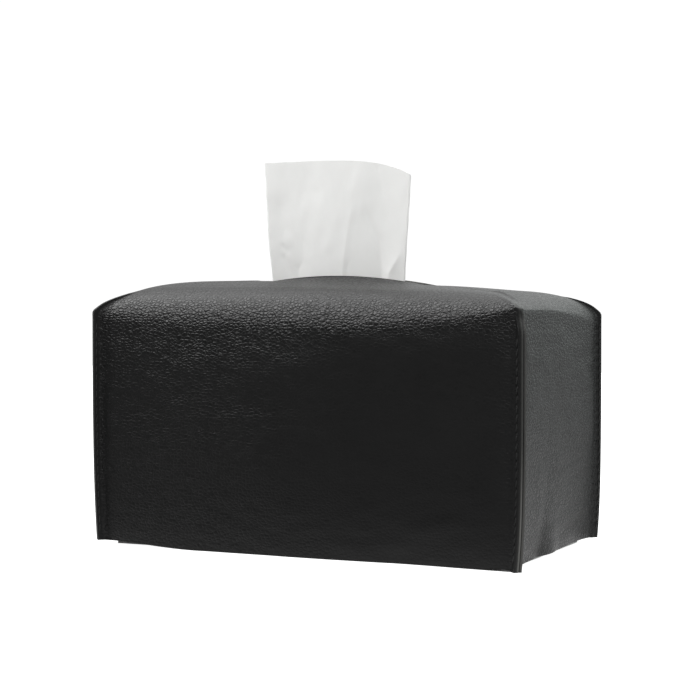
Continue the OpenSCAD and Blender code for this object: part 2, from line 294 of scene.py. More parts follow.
# %% [markdown]
# ## The standing seam
# At each corner the blank's two edges lie back to back and stand out by 3.4 mm. Seen
# along the table, such a seam shows a soft valley at its root, two raw edges and a
# dark line between them. We draw that profile once, as shares of the seam's width
# and thickness, and bend it round every corner. The third value says how pale the
# cut edge is at the shoulder: 0 is the leather's face.
# %% Profile of the standing seam
SEAM = [
    # out along the first face, and over its cut edge
    (0.35, 0.0, 0), (0.7, 0.0, 0), (0.93, 0.0, 0), (0.99, 0.04, 0),
    (1.0, 0.16, 0.02), (1.01, 0.32, 0.04), (1.02, 0.42, 0.28), (1.0, 0.56, 0.3),
    # into the groove and out of it
    (0.95, 0.61, 0.1), (0.72, 0.66, 0.08), (0.92, 0.7, 0.1),
    # over the second cut edge, and back along its face
    (0.99, 0.74, 0.2), (1.01, 0.84, 0.45), (1.0, 0.96, 0.45), (0.99, 0.99, 0.2),
    (0.93, 1.0, 0), (0.7, 1.0, 0), (0.35, 1.0, 0),
]
groove_starts, groove_ends = 0.6, 0.7
print("seam profile:", len(SEAM), "points, width", seam_width, "mm")

# %% [markdown]
# Over the roll the seam tapers away. At the front right corner, where the leather is
# tightest, that starts sooner, 116 mm up. A small ear stands at each shoulder. The
# groove is open at the hem and pressed shut higher up.
# %% The seam from hem to shoulder
taper_from, taper_over, taper_power = 116, 14, 2.5
ear = (0.8, 11, 6)  # height, then place and width in degrees up the roll
pressed_shut, pressed_from, pressed_over, shut_angle = 0.6, 50, 35, 16
fin_from = 0.5  # a lower stand than this melts into the round corner


def seam_stand(wall, zone, place, flat, z):
    """How far, and which way, the seam's raw edge stands off the crease in a row."""
    if zone == "crown":
        return np.zeros(3)
    a = math.radians(place if zone == "roll" else 0)
    rise = roll_reach * math.sqrt(2) * math.sin(a)
    slope = math.atan2(rise, plain_roll * math.cos(a))
    taper = math.cos(a) ** taper_power
    if wall == FRONT:
        taper = 1 - smooth((z - taper_from) / taper_over)
    square = np.array([*(flat * math.cos(slope)), math.sin(slope)])
    flare = hill(math.degrees(a), *ear) * (a > 0)
    return seam_width * taper * square + flare * np.array([*flat, 0])


def groove_shut(zone, place, z):
    pressed = pressed_shut * smooth((z - pressed_from) / pressed_over)
    return max(pressed, smooth(place / shut_angle)) if zone == "roll" else pressed


def corner(wall, zone, place, inset):
    """The net's points between a wall's last crease and the next wall's first."""
    first = cover_point(wall, [1.0], zone, place, inset)[0]
    last = cover_point((wall + 1) % 4, [-1.0], zone, place, inset)[0]
    flat = (OUT[wall] + ALONG[wall]) / math.sqrt(2)
    tip = (first + last) / 2 + crease_setback / 2 * np.array([*flat, 0])
    share = np.linspace(0, 1, len(SEAM) + 2)[1:-1, None]
    round_corner = (1 - share) ** 2 * first + 2 * share * (1 - share) * tip + share**2 * last
    stand = seam_stand(wall, zone, place, flat, first[2])
    width = np.linalg.norm(stand)
    if inset > 0 or width == 0:
        return round_corner
    shut = groove_shut(zone, place, first[2])
    fin = []
    for out, across, pale in SEAM:
        if groove_starts < across < groove_ends:
            out = mix(out, 1.0, shut)
        fin.append(mix(first, last, across) + stand * out)
    return mix(round_corner, np.array(fin), smooth(width / fin_from))


print("the ear stands out by", ear[0], "mm")

# %% [markdown]
# Now the net itself. `ring` walks once round the cover in one row. The raw mark on a
# point says that the leather's cut edge shows there, and the finish reads it later.
# The front right seam's cut edges are painted palest, as lit from the front right, and the others
# are painted darker, as in shade.
# %% One ring of the net
# Painted light on each seam's cut edge: full at the lit front right seam, least at the shaded
# front left one.
edge_light = {FRONT: 1.0, RIGHT: 0.35, BACK: 0.35, LEFT: 0.1}


def ring(zone, place, inset):
    parts = []
    for wall in WALLS:
        parts.append(cover_point(wall, columns(wall), zone, place, inset))
        parts.append(corner(wall, zone, place, inset))
    return np.concatenate(parts)


def ring_marks(zone):
    marks = []
    for wall in WALLS:
        marks.append(np.zeros(len(columns(wall))))
        marks.append(np.array(SEAM)[:, 2] * edge_light[wall] * (zone != "crown"))
    return np.concatenate(marks)


ring_size = len(ring("wall", 0, 0))
print("points in a ring:", ring_size)

# %% [markdown]
# The leather sheet needs its back too, or its hem and the slot's edge would be
# paper-thin. The back uses every fourth row, because nobody sees it closely. Three
# extra rings join the two over the cut edges, so that a cut shows a pale core
# between dark faces.
# %% Build the leather's net
# Painted light: the cut edges are painted paler toward the hem, where the white table lights them.
edge_gain, palest_gain = 3.6, 1.3  # how much paler at the hem than at the shoulder
palest_from, hem_light_from, hem_light_over, shoulder_depth = 0.4, 12, 60, 14
cut_shares = (0.14, 0.5, 0.86)


def lit_toward_hem(pale, points):
    """Cut edges are painted paler toward the hem, as lit from the table, and not pale at all over
    the shoulder.
    """
    height = points[:, 2]
    at_hem = np.where(pale > palest_from, palest_gain, edge_gain) * pale
    shoulder = smooth((edge_height - 2 - height) / shoulder_depth)
    return mix(at_hem, pale, smooth((height - hem_light_from) / hem_light_over)) * shoulder


def net(face_rows, back_rows, face_inset, back_inset):
    """Rings from the hem up the face to the slot, over its edge and down the back."""
    face = [ring(z, s, face_inset) for z, s in face_rows]
    back = [ring(z, s, back_inset) for z, s in back_rows]
    top = [mix(face[-1], back[-1], s) for s in cut_shares]
    hem = [mix(back[0], face[0], s) for s in cut_shares]
    cut = [np.ones(ring_size)] * len(cut_shares)
    raw = [lit_toward_hem(ring_marks(z), r) for (z, s), r in zip(face_rows, face)]
    raw += cut + [np.zeros(ring_size)] * len(back) + cut
    return np.array(face + top + back[::-1] + hem), np.array(raw)


def net_faces(rings):
    """Quads over rings that close both round the ring and from the last to the first."""
    ids = np.arange(rings[..., 0].size).reshape(rings.shape[:2])
    above = np.roll(ids, -1, 0)
    return np.stack([ids, np.roll(ids, -1, 1), np.roll(above, -1, 1), above], -1).reshape(-1, 4)


leather_net, leather_raw = net(rows, rows[::4], 0, leather)
print("leather net:", leather_net.shape)

# %% [markdown]
# A tool that turns a net into a Blender object. All our pieces sit at the origin,
# with their place in their points, as the CAD pieces do.


# %% From points to an object
def add_object(name, data):
    obj = bpy.data.objects.new(name, data)
    bpy.context.scene.collection.objects.link(obj)
    return obj


def make_object(name, points, faces, marks=None):
    mesh = bpy.data.meshes.new(name)
    places = np.reshape(points, (-1, 3)) * MM
    mesh.from_pydata(places.tolist(), [], np.asarray(faces).tolist())
    for key, values in (marks or {}).items():
        layer = mesh.attributes.new(key, "FLOAT", "POINT")
        layer.data.foreach_set("value", np.asarray(values, np.float32).ravel())
    mesh.polygons.foreach_set("use_smooth", np.ones(len(mesh.polygons), bool))
    mesh.update()
    return add_object(name, mesh)


def normals_of(rings):
    """Outward direction at each point of a closed net."""
    round_way = np.roll(rings, -1, 1) - np.roll(rings, 1, 1)
    up_way = np.roll(rings, -1, 0) - np.roll(rings, 1, 0)
    n = np.cross(round_way, up_way)
    return n / np.maximum(np.linalg.norm(n, axis=2, keepdims=True), 1e-9)


print("tools ready")

# %% [markdown]
# ## Folds and pulls in the leather
# A cover that has been pulled over a box shows it: the leather draws in at every
# stitch, ripples below the roll, and lies in long soft dents on the walls. These are
# real shapes, so they go into the mesh and not into the finish. First we note where
# each point of the face lies.
# %% Where each point lies
face_count = len(rows)
points = leather_net[:face_count].reshape(-1, 3)
y, z = points.T[1:]


def ring_spots():
    """Wall, way to its nearest crease, and 1 on a seam: for each point of a ring."""
    for wall in WALLS:
        for t in columns(wall):
            yield wall, span_of(wall) * (1 - abs(t)), 0
        for _ in SEAM:
            yield wall, 0, 1


def up_the_roll(zone, place):
    """0 on a wall, 0 to 1 over the roll, and more than 1 on the crown."""
    return {"wall": 0, "roll": place / 90, "crown": 1 + place}[zone]


on_wall, from_crease, on_fin = np.tile(list(ring_spots()), (face_count, 1)).T
at_ends = np.isin(on_wall, (RIGHT, LEFT))
on_right = (on_wall == RIGHT) * (y < 0)
row_up = np.repeat([up_the_roll(zone, place) for zone, place in rows], ring_size)
print("points on the face:", len(points), "on seams:", int(on_fin.sum()))

# %% [markdown]
# Then we add up what moves them. Each line is one habit of the leather, in millimetres
# outward. The crest runs beside the front right seam, up over the right end's fold.
# %% Dent, ripple and pull
calm_edge = smooth(from_crease / 6)
upright = smooth((132 - z) / 14)
beside_seam = 1 - on_fin
at_stitch = 0.5 + 0.5 * np.cos(2 * math.pi * z / stitch_length)
over_fold = smooth((row_up - 0.42) / 0.2) * smooth((1.2 - row_up) / 0.25)
dents = 0.35 * soft_noise(points, (60, 60, 26), 3) * calm_edge
ripples = 0.16 * soft_noise(points, (16, 16, 4.5), 5) * calm_edge * upright
pull = hill(from_crease, -0.22, 2.2, 1.6) * at_stitch * upright * beside_seam
root = hill(from_crease, 0.45, 0, 1.3) * beside_seam * upright
drawn_in = -np.where(at_ends, 0.2, 0.9) * bell(from_crease, 7.5) * beside_seam * upright
crest = hill(from_crease, 0.7, 6.5, 2.0) * on_right * over_fold
lift = dents + ripples + pull + root + drawn_in + crest
leather_net[:face_count] += normals_of(leather_net)[:face_count] * lift.reshape(face_count, -1, 1)
leather_net[..., 2] = np.maximum(leather_net[..., 2], 0)
print("deepest dent", round(float(lift.min()), 2), "highest", round(float(lift.max()), 2), "mm")

# %% [markdown]
# The pressed grain isn't equally deep all over. It opens where the leather bends over
# the shoulder, most at the left, and lies flat where a wall pulls it smooth. We keep
# that depth as a second attribute, "relief", next to the mark for raw edges.
# %% How deep the grain is
px, py, pz = leather_net[..., 0], leather_net[..., 1], leather_net[..., 2]
on_front = smooth((-py - 50) / 8)
to_left = smooth((60 - px) / 130)
end_grain = mix(0.8, 0.45, smooth((pz - 20) / 70))
front_grain = mix(0.24, 0.6, to_left)
wall_grain = mix(end_grain, front_grain, on_front)
roll_grain = mix(0.6, 0.8, on_front)
crown_grain, crown_from, fin_flatter = 0.42, 131, 0.8
over_roll = smooth((pz - mix(100, 78, to_left)) / 36)
relief = mix(mix(wall_grain, roll_grain, over_roll), crown_grain, smooth((pz - crown_from) / 8))
relief[:face_count] *= 1 - fin_flatter * on_fin.reshape(face_count, -1)
leather_marks = {"raw": leather_raw, "relief": relief}
cover = make_object("leather_blank", leather_net, net_faces(leather_net), leather_marks)
print("leather:", len(cover.data.polygons), "faces")
print("relief from", relief.min().round(2), "to", relief.max().round(2))

# %% [markdown]
# ## The lining
# Inside the leather lies a thin brushed backing, cut a little short of the hem. It
# is only seen when the cover is lifted, so a coarse net will do.
# %% Lining
lining_start = lining_margin / (edge_height - plain_roll)
lining_rows = [("wall", s) for s in np.linspace(lining_start, 1, 14)]
lining_rows += [("roll", a) for a in np.linspace(0, 90, 9)[1:]]
lining_rows += [("crown", s) for s in np.linspace(0, 1, 8)[1:]]
lining_back = lining_rows[::3] + [lining_rows[-1]]
lining_net = net(lining_rows, lining_back, leather, leather + lining)[0]
backing = make_object("suede_backing", lining_net, net_faces(lining_net))
print("lining:", len(backing.data.polygons), "faces")

# %% [markdown]
# ## Words for node trees
# Finishes are node trees, and so are the stitches and the stack further down. In
# these helpers a value that comes from another node is linked, and any other is set.


# %% Node helpers
def fill(tree, n, values):
    for key, value in values.items():
        if isinstance(value, bpy.types.NodeSocket):
            tree.links.new(value, n.inputs[key])
        else:
            n.inputs[key].default_value = value


def add_node(tree, kind, values=None, **settings):
    n = tree.nodes.new(kind)
    for key, value in settings.items():
        setattr(n, key, value)
    fill(tree, n, values or {})
    return n


def node(tree, kind, values=None, **settings):
    """The outputs of a new shader node. Math and vector nodes serve in any tree."""
    return add_node(tree, "ShaderNode" + kind, values, **settings).outputs


def math_node(tree, operation, a, b=0.0):
    return node(tree, "Math", {0: a, 1: b}, operation=operation)[0]


def map_range(tree, value, source, target=(0.0, 1.0), steps="SMOOTHSTEP"):
    values = dict(enumerate((value, *source, *target)))
    return node(tree, "MapRange", values, interpolation_type=steps)[0]


def blend(tree, factor, a, b):
    """Mix two colours. Each is a socket or three numbers."""
    a, b = (c if isinstance(c, bpy.types.NodeSocket) else (*c, 1) for c in (a, b))
    return node(tree, "Mix", {"Factor": factor, 6: a, 7: b}, data_type="RGBA")[2]


def bump(tree, height, strength, distance):
    return node(tree, "Bump", {"Height": height, "Strength": strength, "Distance": distance})[0]


print("node helpers ready")

# %% [markdown]
# A group is a tree that we can use again. Its inputs and outputs come from two
# lists. A new finish starts with the shader that all finishes share.


# %% New groups and finishes
def new_group(name, tree_type, inputs, outputs):
    """Inputs are (name, kind, default), outputs are (name, kind)."""
    tree = bpy.data.node_groups.new(name, tree_type)
    for label, kind, default in inputs:
        socket = tree.interface.new_socket(
            name=label, in_out="INPUT", socket_type="NodeSocket" + kind
        )
        if default is not None:
            socket.default_value = default
    for label, kind in outputs:
        tree.interface.new_socket(name=label, in_out="OUTPUT", socket_type="NodeSocket" + kind)
    given = tree.nodes.new("NodeGroupInput").outputs
    return tree, given, tree.nodes.new("NodeGroupOutput").inputs


def new_material(name):
    material = bpy.data.materials.new(name)
    material.use_nodes = True
    tree = material.node_tree
    tree.nodes.clear()
    shader = tree.nodes.new("ShaderNodeBsdfPrincipled")
    output = tree.nodes.new("ShaderNodeOutputMaterial")
    tree.links.new(shader.outputs[0], output.inputs[0])
    return material, tree, shader, node(tree, "TexCoord")["Object"]


print("groups and finishes ready")

# %% [markdown]
# ## Shared grain and mottling
# The leather is pressed with a fine pebble grain. We build it once as a node group:
# domed cells of a Voronoi pattern with valleys between them, bent by a slow noise so
# that they don't look like tiles. It gives out a height and a mask for the valleys.
# %% Pebble grain
grain, given, out = new_group(
    "pebble_grain", "ShaderNodeTree",
    [("Place", "Vector", None), ("Cells per metre", "Float", 450.0),
     ("Flatness", "Float", 1.35), ("Wander", "Float", 0.0018)],
    [("Height", "Float"), ("Valley", "Float")],
)


def vector(operation, a, b):
    second = "Scale" if operation == "SCALE" else 1
    return node(grain, "VectorMath", {0: a, second: b}, operation=operation)[0]


def add_height(so_far, layer, amount, operation="ADD"):
    return math_node(grain, operation, so_far, math_node(grain, "MULTIPLY", layer, amount))


squeeze = node(grain, "CombineXYZ", {0: 1.0, 1: 1.0, 2: given["Flatness"]})[0]
warp = node(grain, "TexNoise", {"Vector": given["Place"], "Scale": 150.0, "Detail": 2.0})["Color"]
moved = vector("SCALE", vector("SUBTRACT", warp, (0.5, 0.5, 0.5)), given["Wander"])
spot = vector("MULTIPLY", vector("ADD", given["Place"], moved), squeeze)
cells = {"Vector": spot, "Scale": given["Cells per metre"], "Randomness": 0.9}
domes = node(grain, "TexVoronoi", {**cells, "Smoothness": 0.2}, feature="SMOOTH_F1")["Distance"]
edges = node(grain, "TexVoronoi", cells, feature="DISTANCE_TO_EDGE")["Distance"]
valley = map_range(grain, edges, (0.0, 0.24), (1.0, 0.0))
stretched = vector("MULTIPLY", spot, (0.42, 0.42, 1.0))
wrinkles = node(
    grain, "TexNoise", {"Vector": stretched, "Scale": 300.0, "Detail": 1.0, "Distortion": 0.4}
)[0]
pores = node(grain, "TexNoise", {"Vector": spot, "Scale": 1500.0, "Detail": 2.0})[0]
height = add_height(1.0, domes, 0.8, "SUBTRACT")
height = add_height(height, wrinkles, 0.8)
height = add_height(height, pores, 0.12)
height = add_height(height, valley, 0.75, "SUBTRACT")
grain.links.new(height, out["Height"])
grain.links.new(valley, out["Valley"])
print("grain:", len(grain.nodes), "nodes")

# %% [markdown]
# The second group is a slow, cloudy mask, because nothing has quite the same colour
# all over. Leather, tissue and film use it, each at its own size.
# %% Soft mottling
mottle, given, out = new_group(
    "soft_mottle", "ShaderNodeTree",
    [("Place", "Vector", None), ("Patches per metre", "Float", 40.0)], [("Mask", "Float")],
)
patches = node(
    mottle, "TexNoise",
    {"Vector": given["Place"], "Scale": given["Patches per metre"], "Detail": 3.0},
)
mottle.links.new(patches[0], out["Mask"])
print("groups:", [g.name for g in bpy.data.node_groups])

# %% [markdown]
# ## Finish of the leather
# The leather is nearly black with a soft satin face. Its low specular level keeps the highlights
# over the shoulders faint, and the grain's valleys are a little rougher than its domes. Along the
# cut edges the raw mark lets the pale core show, and it also holds painted light: paler toward the
# hem and palest at the front right seam.
# %% Leather finish
black, worn_black, pale_core = (0.0045, 0.0045, 0.0046), (0.0078,) * 3, (0.135, 0.133, 0.127)
leather_finish, tree, shader, place = new_material("black_pebbled_leather")
grain_out = node(tree, "Group", {"Place": place}, node_tree=grain)
cloudy = node(tree, "Group", {"Place": place}, node_tree=mottle)["Mask"]
raw = node(tree, "Attribute", attribute_name="raw")["Fac"]
grain_depth = node(tree, "Attribute", attribute_name="relief")["Fac"]
rough = math_node(tree, "ADD", math_node(tree, "MULTIPLY", grain_out["Valley"], 0.14), 0.33)
pebbles = math_node(tree, "MULTIPLY", grain_out["Height"], grain_depth)
fill(tree, shader, {
    "Base Color": blend(tree, raw, blend(tree, cloudy, black, worn_black), pale_core),
    "Roughness": rough,
    "Specular IOR Level": 0.28,
    "Normal": bump(tree, pebbles, 1.0, 0.00029),
})
cover.data.materials.append(leather_finish)
print("finish:", leather_finish.name)

# %% [markdown]
# The lining is brushed, so it is rough with a slight sheen.
# %% Lining finish
suede_finish, tree, shader, place = new_material("brushed_grey_lining")
nap = node(tree, "TexNoise", {"Vector": place, "Scale": 900.0, "Detail": 4.0})[0]
fill(tree, shader, {
    "Base Color": blend(tree, nap, (0.05, 0.049, 0.047), (0.12, 0.118, 0.112)),
    "Roughness": 0.95,
    "Sheen Weight": 0.3,
    "Normal": bump(tree, nap, 0.6, 0.0002),
})
backing.data.materials.append(suede_finish)
print("finish:", suede_finish.name)

# %% [markdown]
# ## Stitches by Geometry Nodes
# A seam repeats one stitch a few dozen times, so it is a job for Geometry Nodes: a
# curve runs along the stitch line, points are spaced along it, and one small stitch
# is placed at each. `bake` runs such a tree once and keeps the plain mesh.


# %% Run a tree and keep its mesh
def geo(tree, kind, values=None, **settings):
    return add_node(tree, "GeometryNode" + kind, values, **settings).outputs[0]


def function(tree, kind, values, **settings):
    return add_node(tree, "FunctionNode" + kind, values, **settings).outputs[0]


def bake(name, data, tree, given):
    carrier = add_object(name + "_carrier", data)
    modifier = carrier.modifiers.new(name, "NODES")
    modifier.node_group = tree
    for item in tree.interface.items_tree:
        if item.in_out == "INPUT" and item.name in given:
            modifier[item.identifier] = given[item.name]
    bpy.context.view_layer.update()
    evaluated = carrier.evaluated_get(bpy.context.evaluated_depsgraph_get())
    mesh = bpy.data.meshes.new_from_object(evaluated)
    carrier.modifiers.clear()
    bpy.data.objects.remove(carrier)
    return add_object(name, mesh)


print("bake ready")

# %% [markdown]
# One stitch is a long bead of thread, turned along the line and slanted a little, as
# it lies when two threads lock. Its length, thickness and slant are the tree's inputs.
# %% The stitch tree
pulled_short = 0.92  # a stitch's ends dip into its holes
stitches, sewn, finished = new_group(
    "seam_stitches", "GeometryNodeTree",
    [("Line", "Geometry", None), ("Stitch length", "Float", stitch_length * MM),
     ("Thread diameter", "Float", thread * MM), ("Slant", "Float", 0.14),
     ("Finish", "Material", None)],
    [("Stitches", "Geometry")],
)
spaced = geo(
    stitches, "ResampleCurve",
    {"Curve": sewn["Line"], "Length": sewn["Stitch length"]}, mode="LENGTH",
)
tangent = geo(stitches, "InputTangent")
turn = function(stitches, "AlignRotationToVector", {"Vector": tangent}, axis="Z")
slant = function(stitches, "AxisAngleToRotation", {"Axis": (0, 1, 0), "Angle": sewn["Slant"]})
turns = {"Rotation": turn, "Rotate By": slant}
turned = function(stitches, "RotateRotation", turns, rotation_space="LOCAL")
bead = geo(stitches, "MeshUVSphere", {"Segments": 8, "Rings": 6, "Radius": 0.5})
size = node(stitches, "CombineXYZ", {
    "X": sewn["Thread diameter"], "Y": sewn["Thread diameter"],
    "Z": math_node(stitches, "MULTIPLY", sewn["Stitch length"], pulled_short),
})[0]
placed = geo(
    stitches, "InstanceOnPoints",
    {"Points": spaced, "Instance": bead, "Rotation": turned, "Scale": size},
)
real = geo(stitches, "RealizeInstances", {"Geometry": placed})
rounded = geo(stitches, "SetShadeSmooth", {"Geometry": real})
dressed = geo(stitches, "SetMaterial", {"Geometry": rounded, "Material": sewn["Finish"]})
stitches.links.new(dressed, finished["Stitches"])
print("stitch tree:", len(stitches.nodes), "nodes")

# %% [markdown]
# The thread is black bonded nylon, a little shinier than the leather, with a fine
# twist that a slanting wave draws.
# %% Thread finish
thread_finish, tree, shader, place = new_material("black_bonded_thread")
strand = node(
    tree, "TexWave", {"Vector": place, "Scale": 900.0, "Distortion": 1.0},
    bands_direction="DIAGONAL",
)["Fac"]
fill(tree, shader, {
    "Base Color": blend(tree, strand, (0.008,) * 3, (0.022,) * 3),
    "Roughness": 0.45,
    "Normal": bump(tree, strand, 0.5, 0.00008),
})
print("finish:", thread_finish.name)

# %% [markdown]
# Each seam is sewn through both edges, so a line of stitches runs up both of its
# faces, from one stitch above the hem to where the seam begins to taper.
# %% Lines of stitches at the four corners
sewn_below = {FRONT: 17, RIGHT: 12.9, BACK: 12.9, LEFT: 12.9}  # under the crown's edge
proud = 0.05


def stitch_lines(wall):
    """Both faces of the seam after a wall: lists of points, half a stitch from each hole."""
    first = float(hem_height(wall, np.array([1.0]))[0]) + stitch_length
    count = int((edge_height - sewn_below[wall] - first) // stitch_length)
    flat = (OUT[wall] + ALONG[wall]) / math.sqrt(2)
    side = (OUT[wall] - ALONG[wall]) / math.sqrt(2)
    a = plan(wall, np.array([1.0]), 0, np.zeros(1))[0]
    b = plan((wall + 1) % 4, np.array([-1.0]), 0, np.zeros(1))[0]
    out = flat * (seam_width - stitch_margin)
    lines = []
    for face in (1, -1):
        foot = (a + b) / 2 + out + side * face * (leather + proud)
        heights = first + (np.arange(count) + 0.5) * stitch_length
        lines.append(drawn(np.array([[*foot, height] for height in heights])))
    return lines


threads = {}
corner_names = {LEFT: "front_left", FRONT: "front_right", RIGHT: "back_right", BACK: "back_left"}
for wall, name in corner_names.items():
    curve = bpy.data.curves.new("line_" + name, "CURVE")
    curve.dimensions = "3D"
    for line in stitch_lines(wall):
        spline = curve.splines.new("POLY")
        spline.points.add(len(line) - 1)
        for point, p in zip(spline.points, line):
            point.co = (*(p * MM), 1)
    threads[name] = bake("stitches_" + name, curve, stitches, {
        "Stitch length": stitch_length * MM, "Thread diameter": thread * MM,
        "Finish": thread_finish,
    })
    print(name, len(threads[name].data.polygons), "faces")

# %% [markdown]
# ## The standing tissue
# One tissue stands in the slot: a soft two-ply sheet, gathered by the slit below so
# that its sides turn over to the back. We wrap a sheet of fixed width along a flat C
# in plan, so that the paper keeps its real width. It widens upward, its right
# shoulder slopes, and its left side draws in above the slit.
# %% Plan of the folded sheet
tissue_foot, tissue_top, lip_line = 101.1, 213.2, 149.0
sheet_width, sheet_height, side_bend = 196.0, 112.0, 1.3
foot_width, spread, shoulder_slope = 78.5, 5.9, 10
sheet_middle = (-7.5, 1.0)
front_gap, back_gaps, behind_drop = -0.45, (0.45, 0.95), 0.8
side_draw, side_draw_top, side_draw_over = 1.6, 172, 25


def tissue_sheet(across_count, up_count):
    """Points of the sheet, and its share across the front face and up the tissue."""
    up = np.linspace(0, 1, up_count + 1)[:, None]
    half = (foot_width + 2 * spread * up) / 2
    run = (np.linspace(0, 1, across_count + 1)[None, :] - 0.5) * sheet_width
    over = np.abs(run) - half
    behind = smooth(over / side_bend)
    turned = np.sign(run) * (half - np.maximum(over - side_bend / 2, 0))
    x = np.where(over < 0, run, turned)
    y = sheet_middle[1] + mix(front_gap, np.where(run > 0, back_gaps[1], back_gaps[0]), behind)
    share = np.clip((x + half) / (2 * half), 0, 1)
    height = mix(tissue_foot, tissue_top, up)
    low = np.clip((side_draw_top - height) / side_draw_over, 0, 1.2)
    x = x + side_draw * low * (1 - share) ** 2
    z = mix(tissue_foot, tissue_top - shoulder_slope * share**5, up) - behind_drop * behind
    return np.stack([x + sheet_middle[0], y + 0 * z, z], -1), share, up + 0 * share


sheet, share, up = tissue_sheet(230, 130)
print("tissue sheet:", sheet.shape)

# %% [markdown]
# The creases are soft: one that runs upright turns one side of the paper to the
# light and the other away. Each is a path across the front face, given by shares of
# the tissue's width and of its height above the slot, with a depth in millimetres
# (minus is a valley, plus a ridge) and a width. They die out at their upper ends.
# %% Creases of the tissue
CREASES = [
    ([(0.545, -0.3), (0.55, 0.1), (0.6, 0.5), (0.63, 0.68)], 0.7, 2.8),
    ([(0.575, -0.2), (0.575, 0.05), (0.6, 0.17)], -0.8, 0.9),
    ([(0.83, -0.3), (0.82, 0.04), (0.795, 0.32), (0.725, 0.5), (0.67, 0.64)], -1.7, 4.6),
    ([(0.87, -0.2), (0.88, 0.04), (0.99, 0.34)], 1.6, 2.6),
    ([(0.09, 0.62), (0.12, 0.42), (0.1, 0.26)], -0.5, 3.2),
    ([(0.1, 0.26), (0.15, 0.18)], -0.8, 1.3),
    ([(0.1, 0.16), (0.17, -0.1)], -0.8, 1.8),
    ([(0.2, -0.2), (0.2, 0.06), (0.27, 0.16)], -1.0, 4.6),
    ([(0.3, -0.1), (0.36, 0.5), (0.47, 0.86)], 0.3, 6.5),
    ([(0.05, 0.55), (0.3, 0.75), (0.55, 0.7)], -0.3, 7.0),
    ([(0.78, 0.95), (0.84, 0.6), (0.93, 0.45)], -0.5, 6.0),
]
face_width, face_height = 86, 64
crease_round, crease_reach = 0.35, 1.05


def crease_lift(path, depth, width):
    """Lift of the face near one crease: strongest at its lower end."""
    px = share * face_width
    over_lip = up * sheet_height + tissue_foot - lip_line
    py = over_lip / (tissue_top - lip_line) * face_height
    best = np.full(share.shape, 1e9)
    along = np.zeros(share.shape)
    stops = [np.array([u * face_width, v * face_height]) for u, v in path]
    for k, (a, b) in enumerate(zip(stops[:-1], stops[1:])):
        d = b - a
        s = np.clip(((px - a[0]) * d[0] + (py - a[1]) * d[1]) / (d @ d), 0, 1)
        gap = np.hypot(px - a[0] - s * d[0], py - a[1] - s * d[1])
        nearer = gap < best
        best = np.where(nearer, gap, best)
        along = np.where(nearer, (k + s) / (len(stops) - 1), along)
    fade = smooth((crease_reach - along) * 1.6)
    return depth * np.exp(-np.hypot(best, crease_round) / width) * fade


folds = sum(crease_lift(*crease) for crease in CREASES)
print("folds from", round(float(folds.min()), 1), "to", round(float(folds.max()), 1), "mm")

# %% [markdown]
# Under the creases the whole sheet waves gently, and the paper is crumpled a little,
# in large and in small waves. The slit below holds its foot flat.
# %% Wave and crumple
wave = 0.9 * np.sin(2 * math.pi * 1.6 * share) * np.sin(math.pi * up)
flat_points = sheet.reshape(-1, 3) * [1, 0, 1]
crumple = soft_noise(flat_points, (11, 1, 17), 11).reshape(share.shape)
crumple += 0.45 * soft_noise(flat_points, (3.5, 1, 6), 12).reshape(share.shape)
above = smooth((sheet[..., 2] - 118) / 26)
sheet[..., 1] += wave - folds * above + 0.16 * crumple * above
ids = np.arange(share.size).reshape(share.shape)
squares = np.stack([ids[:-1, :-1], ids[:-1, 1:], ids[1:, 1:], ids[1:, :-1]], -1)
tissue = make_object("standing_tissue", sheet, squares.reshape(-1, 4))
print("tissue:", len(tissue.data.polygons), "faces")

# %% [markdown]
# Tissue is matt and softly fibrous. Thin paper lets some light through from behind,
# so it never goes quite dark: a weak glow stands in for that.
# %% Tissue finish
tissue_finish, tree, shader, place = new_material("white_two_ply_tissue")
fibre = node(tree, "TexNoise", {"Vector": place, "Scale": 700.0, "Detail": 5.0})[0]
soft = node(tree, "Group", {"Place": place, "Patches per metre": 60.0}, node_tree=mottle)["Mask"]
fill(tree, shader, {
    "Base Color": blend(tree, soft, (0.77, 0.77, 0.757), (0.83, 0.83, 0.816)),
    "Roughness": 0.95,
    "Sheen Weight": 0.1,
    "Emission Color": (1, 1, 0.985, 1),
    "Emission Strength": 0.14,
    "Normal": bump(tree, fibre, 0.4, 0.00015),
})
tissue.data.materials.append(tissue_finish)
print("finish:", tissue_finish.name)

# %% [markdown]
# ## The carton and its stack
# These are seen through the slot, and when the cover is lifted. The carton and its
# film keep their CAD shapes and get a finish: pale flecked board, and a clear film
# that shows the stack.
# %% Board and film
board_finish, tree, shader, place = new_material("pale_paperboard")
fleck = node(tree, "TexNoise", {"Vector": place, "Scale": 500.0, "Detail": 6.0})[0]
fill(tree, shader, {
    "Base Color": blend(tree, fleck, (0.78, 0.78, 0.76), (0.86, 0.86, 0.84)),
    "Roughness": 0.6,
})

film_finish, tree, shader, place = new_material("clear_window_film")
haze = node(tree, "Group", {"Place": place, "Patches per metre": 90.0}, node_tree=mottle)["Mask"]
fill(tree, shader, {
    "Base Color": blend(tree, haze, (0.8, 0.82, 0.84), (0.9, 0.92, 0.94)),
    "Roughness": 0.12,
    "Alpha": 0.3,
})
for piece, finish in (("carton", board_finish), ("window_film", film_finish)):
    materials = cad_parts[piece].data.materials
    materials.clear()
    materials.append(finish)
print("board and film ready")

